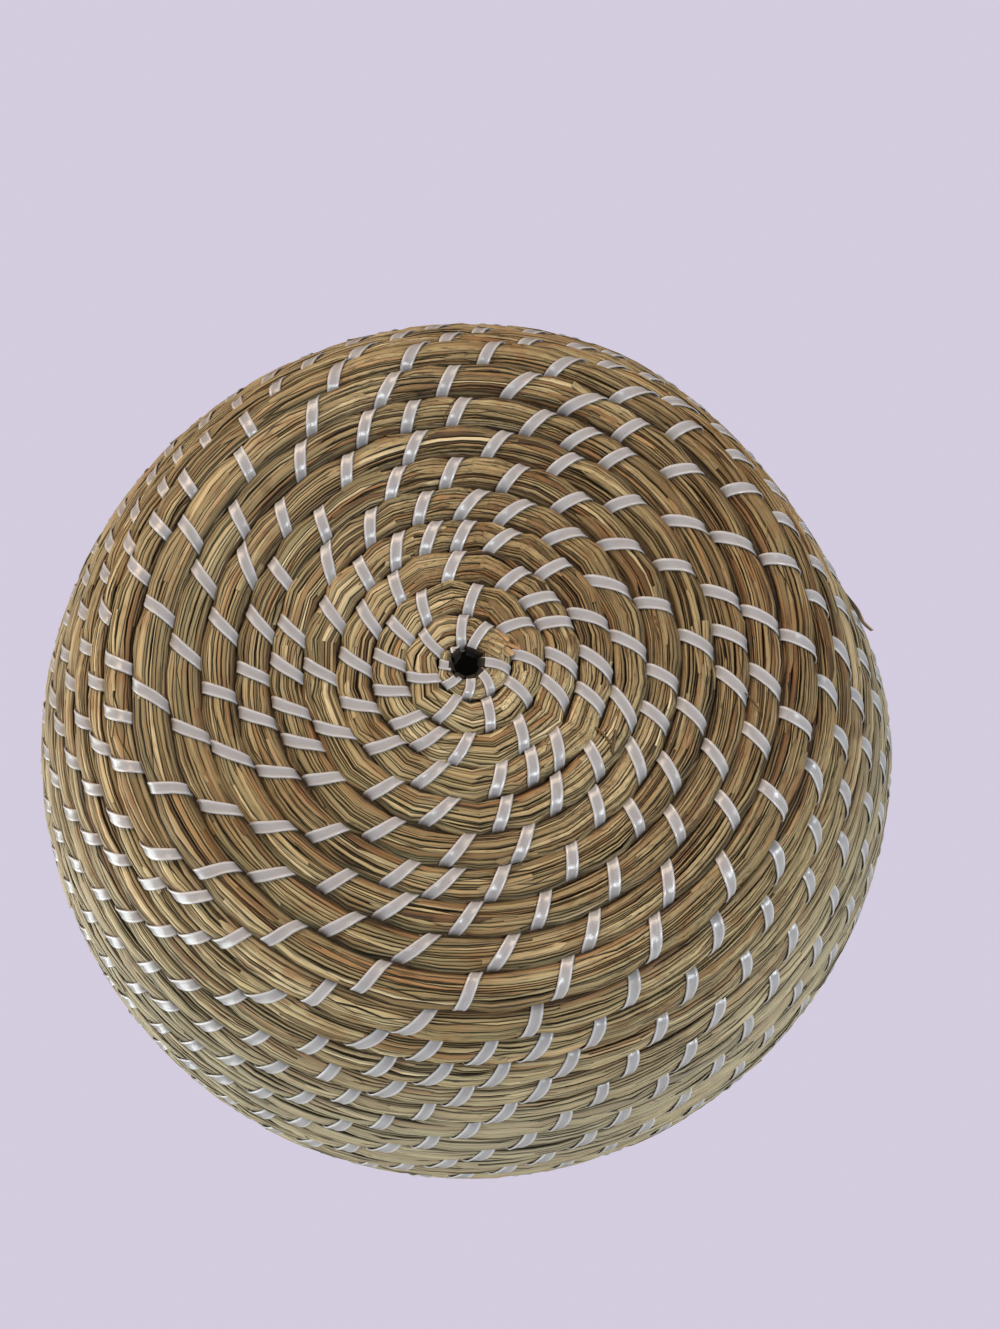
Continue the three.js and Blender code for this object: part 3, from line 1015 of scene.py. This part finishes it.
def makeSheaf():
    count = len(sheaf["stems"])
    rng = np.random.default_rng(sheaf["seed"])
    piece, station, side, upward = makeBlades("cutStems", count)
    along = station / blades["segments"]
    root, tip, *others = (np.array(values) for values in zip(*sheaf["stems"]))
    width, tone, hue = (values[:, None] for values in others)
    run = (tip - root) * mm
    length = np.linalg.norm(run, axis=1)[:, None]
    ahead = run / length
    share = side * (1 - sheaf["shoulder"] * (upward > 0))
    half = width / 2 * mm * share
    x = root[:, :1] * mm + run[:, :1] * along - ahead[:, 1:] * half
    y = root[:, 1:] * mm + run[:, 1:] * along + ahead[:, :1] * half
    tipHeight = sheaf["tipHeight"] + sheaf["tipSpread"] * rng.uniform(-1, 1, (count, 1))
    middleHeight = sheaf["rootHeight"] + (tipHeight - sheaf["rootHeight"]) * along ** sheaf["droop"]
    z = middleHeight - sheaf["thick"] / 2 * upward
    blade = length * along + blades["patternApart"] * hue, half, tone
    edge = (1 - np.abs(share)) * width / 2, sheaf["rootShade"] * (1 - along), hue
    finishGrass(piece, np.stack([x, y, z], axis=-1), blade, edge)
    print("sheaf:", count, "stems")


makeSheaf()


# The sewing strip, one length for each row, winding round it from stitch to stitch.
strip = {
    "width": 3.85 * mm,
    "narrow": 0.74,  # share of the width at the hole
    "fullRadius": 32 * mm,
    "thick": 0.5 * mm,
    "under": 0.1,  # height of its back, as a share of the thickness
    "top": 5.36 * mm,  # crown of a stitch over the middle of the bundle
    "squareness": 0.76,
    "shadeRadius": 5.4 * mm,  # dark inside the hole
    "shadeFade": 0.8 * mm,
    "shadeRows": 2,
    "grooveShade": 0.6,
    "grooveNarrow": 12,  # power, more keeps the shade deeper in the groove
    "dive": 0.25 * mm,  # how far the strip stands past the drawn-in edge of the grass
    "outsideSteps": 16,
    "insideSteps": 10,
    "acrossSteps": 6,
    "rims": [(0, 0.78), (0.5, 0.8), (0.82, 1.0), (1, 0.62)],  # shares of half width and thickness
    "probe": 0.3 * mm,  # step that finds the way out
}


def stripTemplate(name, steps):
    bm = bmesh.new()
    bmesh.ops.create_cube(bm, size=1)
    cutInSteps(bm, 1, strip["acrossSteps"])
    cutInSteps(bm, 0, steps)
    return pieceFrom(bm, name)


def windStitches(first, last):  # turn and lane of each station along the strip
    turns, lanes = [], []
    power = strip["squareness"] - flatterAt(feet[first])
    for i in range(first, last):
        outside = np.linspace(0, math.pi, strip["outsideSteps"], endpoint=False)
        turns.append(heads[i] + leans[i] * (1 - sectionAt(outside, power)[0]) / 2)
        lanes.append(outside)
        if i + 1 < len(feet):
            inside = np.linspace(math.pi, fullTurn, strip["insideSteps"], endpoint=False)
            across = (1 + sectionAt(inside, power)[0]) / 2
            turns.append(feet[i] + (heads[i + 1] - feet[i]) * across)
            lanes.append(inside)
    return np.concatenate(turns), np.concatenate(lanes)


def stripLine(turn, lane, stand):
    inner, outer = rowEdges(turn)
    drawnIn = np.where(np.cos(lane) > 0, bundle["waist"] - bundle["hump"], 0) * np.abs(np.cos(lane))
    halfWidth = bundle["fill"] * (outer - inner) - drawnIn + strip["dive"] + stand
    halfThick = (rowThickness(turn) - basket["bundle"]) / 2 + strip["top"] - strip["thick"] + stand
    power = strip["squareness"] - flatterAt(turn)
    return placeOnCoil(turn, *roundTheRow(turn, lane, halfWidth, halfThick, power))


def unit(vectors):
    return vectors / np.maximum(np.linalg.norm(vectors, axis=-1, keepdims=True), 1e-12)


def makeStripRow(row):
    inRow = np.flatnonzero(np.floor(feet) == row)
    turn, lane = windStitches(inRow[0], inRow[-1] + 1)
    middle = stripLine(turn, lane, 0)
    away = unit(stripLine(turn, lane, strip["probe"]) - middle)
    ahead = unit(np.gradient(middle, axis=0))
    beside = unit(np.cross(away, ahead))
    away = unit(np.cross(ahead, beside))
    distance = np.concatenate([[0], np.cumsum(np.linalg.norm(np.diff(middle, axis=0), axis=1))])
    piece = stripTemplate(f"stripRow{row + 1:02d}", len(turn) - 1)
    points = coordinatesOf(piece.data)
    station = np.rint((points[:, 0] + 0.5) * (len(turn) - 1)).astype(int)
    rimPlaces, rimHeights = zip(*strip["rims"])
    evenly = np.abs(points[:, 1]) * 2
    side = np.sign(points[:, 1]) * np.interp(evenly, np.linspace(0, 1, len(rimPlaces)), rimPlaces)
    crown = np.interp(np.abs(side), rimPlaces, rimHeights)
    height = np.where(points[:, 2] > 0, crown, strip["under"]) * strip["thick"]
    widen = np.clip(rowRadius(turn[station]) / strip["fullRadius"], 0, 1)
    edge = side * strip["width"] / 2 * (strip["narrow"] + (1 - strip["narrow"]) * widen)
    laid = middle[station] + beside[station] * edge[:, None] + away[station] * height[:, None]
    setCoordinates(piece.data, laid)
    inHole = (strip["shadeRadius"] - np.hypot(laid[:, 0], laid[:, 1])) / strip["shadeFade"]
    inGroove = np.abs(np.cos(lane[station])) ** strip["grooveNarrow"]
    shaded = np.maximum(np.clip(inHole, 0, 1), strip["grooveShade"] * inGroove)
    setAttribute(piece.data, "strip", distance[station] + row, side, shaded)
    finishMesh(piece, stripMaterial)
    if row < strip["shadeRows"]:  # no light gets to the strip in the hole
        piece.data.materials.append(shadeMaterial)
        for face in piece.data.polygons:
            face.material_index = int(face.center.xy.length < strip["shadeRadius"])
    addPiece(piece, "strip", f"strip_row_{row + 1:02d}")


for rowNumber in range(basket["rows"]):
    makeStripRow(rowNumber)
print("strip:", basket["rows"], "rows")


# Floor, a dark sheet of painted shade behind the hole, light and camera.
studio = {
    "floorSize": 2.0,
    "floorFade": (0.3, 0.9),  # metres from the middle
    "floorColour": (0.52, 0.51, 0.54),
    "floorRoughness": 0.8,
    "holeShadeSize": 0.075,
    "holeShadeAbove": 2 * mm,  # over the rim
    "holeShadeColour": (0.004, 0.003, 0.003),
    "holeShadeRoughness": 1.0,
    "airColour": (0.655, 0.605, 0.735),
    "airLight": (0.16, 0.16, 0.16),
    "glintLights": 3,  # the others give no glints
    "lightsAim": (0, 0, 0.07),
    "lights": [  # place, watts, size, colour
        ((0.65, 0.4, -1.3), 18, 0.5, (0.90, 0.97, 1.0)),
        ((-0.7, -1.0, -0.9), 21, 0.8, (1.0, 0.80, 0.60)),
        ((-1.1, 0.35, 0.25), 18, 0.9, (0.93, 1.0, 0.98)),
        ((1.1, 0.2, 0.2), 7, 0.9, (0.93, 1.0, 1.0)),
        ((-0.1, 1.2, 0.1), 7, 1.0, (0.98, 1.0, 0.93)),
        ((0.4, -0.5, 1.3), 26, 1.0, (1.0, 0.98, 0.96)),
    ],
}


def showEither(tree, outputName, share, first, second):
    choose = addNode(tree, "ShaderNodeMixShader", {"Fac": share, 1: first, 2: second})
    feed(tree, tree.nodes[outputName], {"Surface": choose.outputs["Shader"]})


def oneSided(name, colour, roughness):  # seen from its front only, and clear farther out
    material, tree, shader = newMaterial(name)
    place = addPlace(tree)
    pale = addGreyRamp(tree, addNoise(tree, place, 3.0, 2.0), [(0.3, 0.97), (0.7, 1.0)])
    colour = addMix(tree, "MULTIPLY", 1.0, colour, pale)
    feed(tree, shader, {"Base Color": colour, "Roughness": roughness})
    near, far = studio["floorFade"]
    faded = addGreyRamp(tree, addRadius(tree, place), [(near, 0.0), (far, 1.0)])
    behind = addNode(tree, "ShaderNodeNewGeometry").outputs["Backfacing"]
    hidden = addNode(tree, "ShaderNodeMath", {0: behind, 1: faded}, operation="MAXIMUM").outputs["Value"]
    clear = addNode(tree, "ShaderNodeBsdfTransparent").outputs["BSDF"]
    showEither(tree, "Material Output", hidden, shader.outputs["BSDF"], clear)
    return material


def makeStagePlane(name, size, height, facesDown, material):
    bm = bmesh.new()
    bmesh.ops.create_grid(bm, x_segments=1, y_segments=1, size=size)
    if facesDown:
        bmesh.ops.reverse_faces(bm, faces=bm.faces)
    bmesh.ops.translate(bm, verts=bm.verts, vec=(0, 0, height))
    plane = pieceFrom(bm, name)
    plane.data.materials.append(material)
    plane.visible_shadow = False
    plane.visible_diffuse = False
    plane.visible_glossy = False


paleFloor = oneSided("paleFloor", studio["floorColour"], studio["floorRoughness"])
makeStagePlane("floor", studio["floorSize"] / 2, 0, False, paleFloor)
# painted shade: a dark sheet over the mouth, seen only through the hole
holeShadeMaterial = oneSided("holeShadeMaterial", studio["holeShadeColour"], studio["holeShadeRoughness"])
holeShadeHeight = cadBox[1].z + studio["holeShadeAbove"]
makeStagePlane("holeBackdrop", studio["holeShadeSize"], holeShadeHeight, True, holeShadeMaterial)


def lightStudio():
    world = bpy.data.worlds.new("paleAir")
    world.use_nodes = True
    tree = world.node_tree
    seen = tree.nodes["Background"]
    feed(tree, seen, {"Color": (*studio["airColour"], 1)})
    lit = addNode(tree, "ShaderNodeBackground", {"Color": (*studio["airLight"], 1)})
    fromCamera = addNode(tree, "ShaderNodeLightPath").outputs["Is Camera Ray"]
    showEither(tree, "World Output", fromCamera, lit.outputs["Background"], seen.outputs["Background"])
    scene.world = world
    for number, (place, watts, size, colour) in enumerate(studio["lights"]):
        lamp = bpy.data.lights.new(f"softLight{number}", "AREA")
        lamp.energy = watts
        lamp.size = size
        lamp.color = colour
        holder = bpy.data.objects.new(lamp.name, lamp)
        holder.location = place
        towards = Vector(studio["lightsAim"]) - Vector(place)
        holder.rotation_euler = towards.to_track_quat("-Z", "Y").to_euler()
        holder.visible_camera = False
        holder.visible_glossy = number < studio["glintLights"]
        scene.collection.objects.link(holder)


lightStudio()
scene.view_settings.view_transform = "Standard"

# The photograph looks up at the base, a little from one side. Pixels are in its 1000 by 1329 frame.
view = {
    "tilt": math.radians(16.5),
    "distance": 0.714,
    "pixelsPerMetre": 3240,  # at the base
    "sensor": 36,
    "clip": (0.01, 50),
    "pictureWidth": 1000,
    "pictureHeight": 1329,
    "centreAt": (466.5, 662.5),  # where the middle of the base is seen
}


def placeCamera():
    data = bpy.data.cameras.new("photoCamera")
    camera = bpy.data.objects.new("photoCamera", data)
    c, s = math.cos(view["tilt"]), math.sin(view["tilt"])
    right, up, back = Vector((1, 0, 0)), Vector((0, -c, -s)), Vector((0, s, -c))
    turned = Matrix((right, up, back)).transposed().to_4x4()
    camera.matrix_world = Matrix.Translation(back * view["distance"]) @ turned
    longSide = view["pictureHeight"]
    data.sensor_width = view["sensor"]
    data.lens = view["sensor"] * view["pixelsPerMetre"] * view["distance"] / longSide
    data.shift_x = (view["pictureWidth"] / 2 - view["centreAt"][0]) / longSide
    data.shift_y = (view["centreAt"][1] - view["pictureHeight"] / 2) / longSide
    data.clip_start, data.clip_end = view["clip"]
    scene.collection.objects.link(camera)
    scene.camera = camera


placeCamera()
print("studio: floor, light and camera")
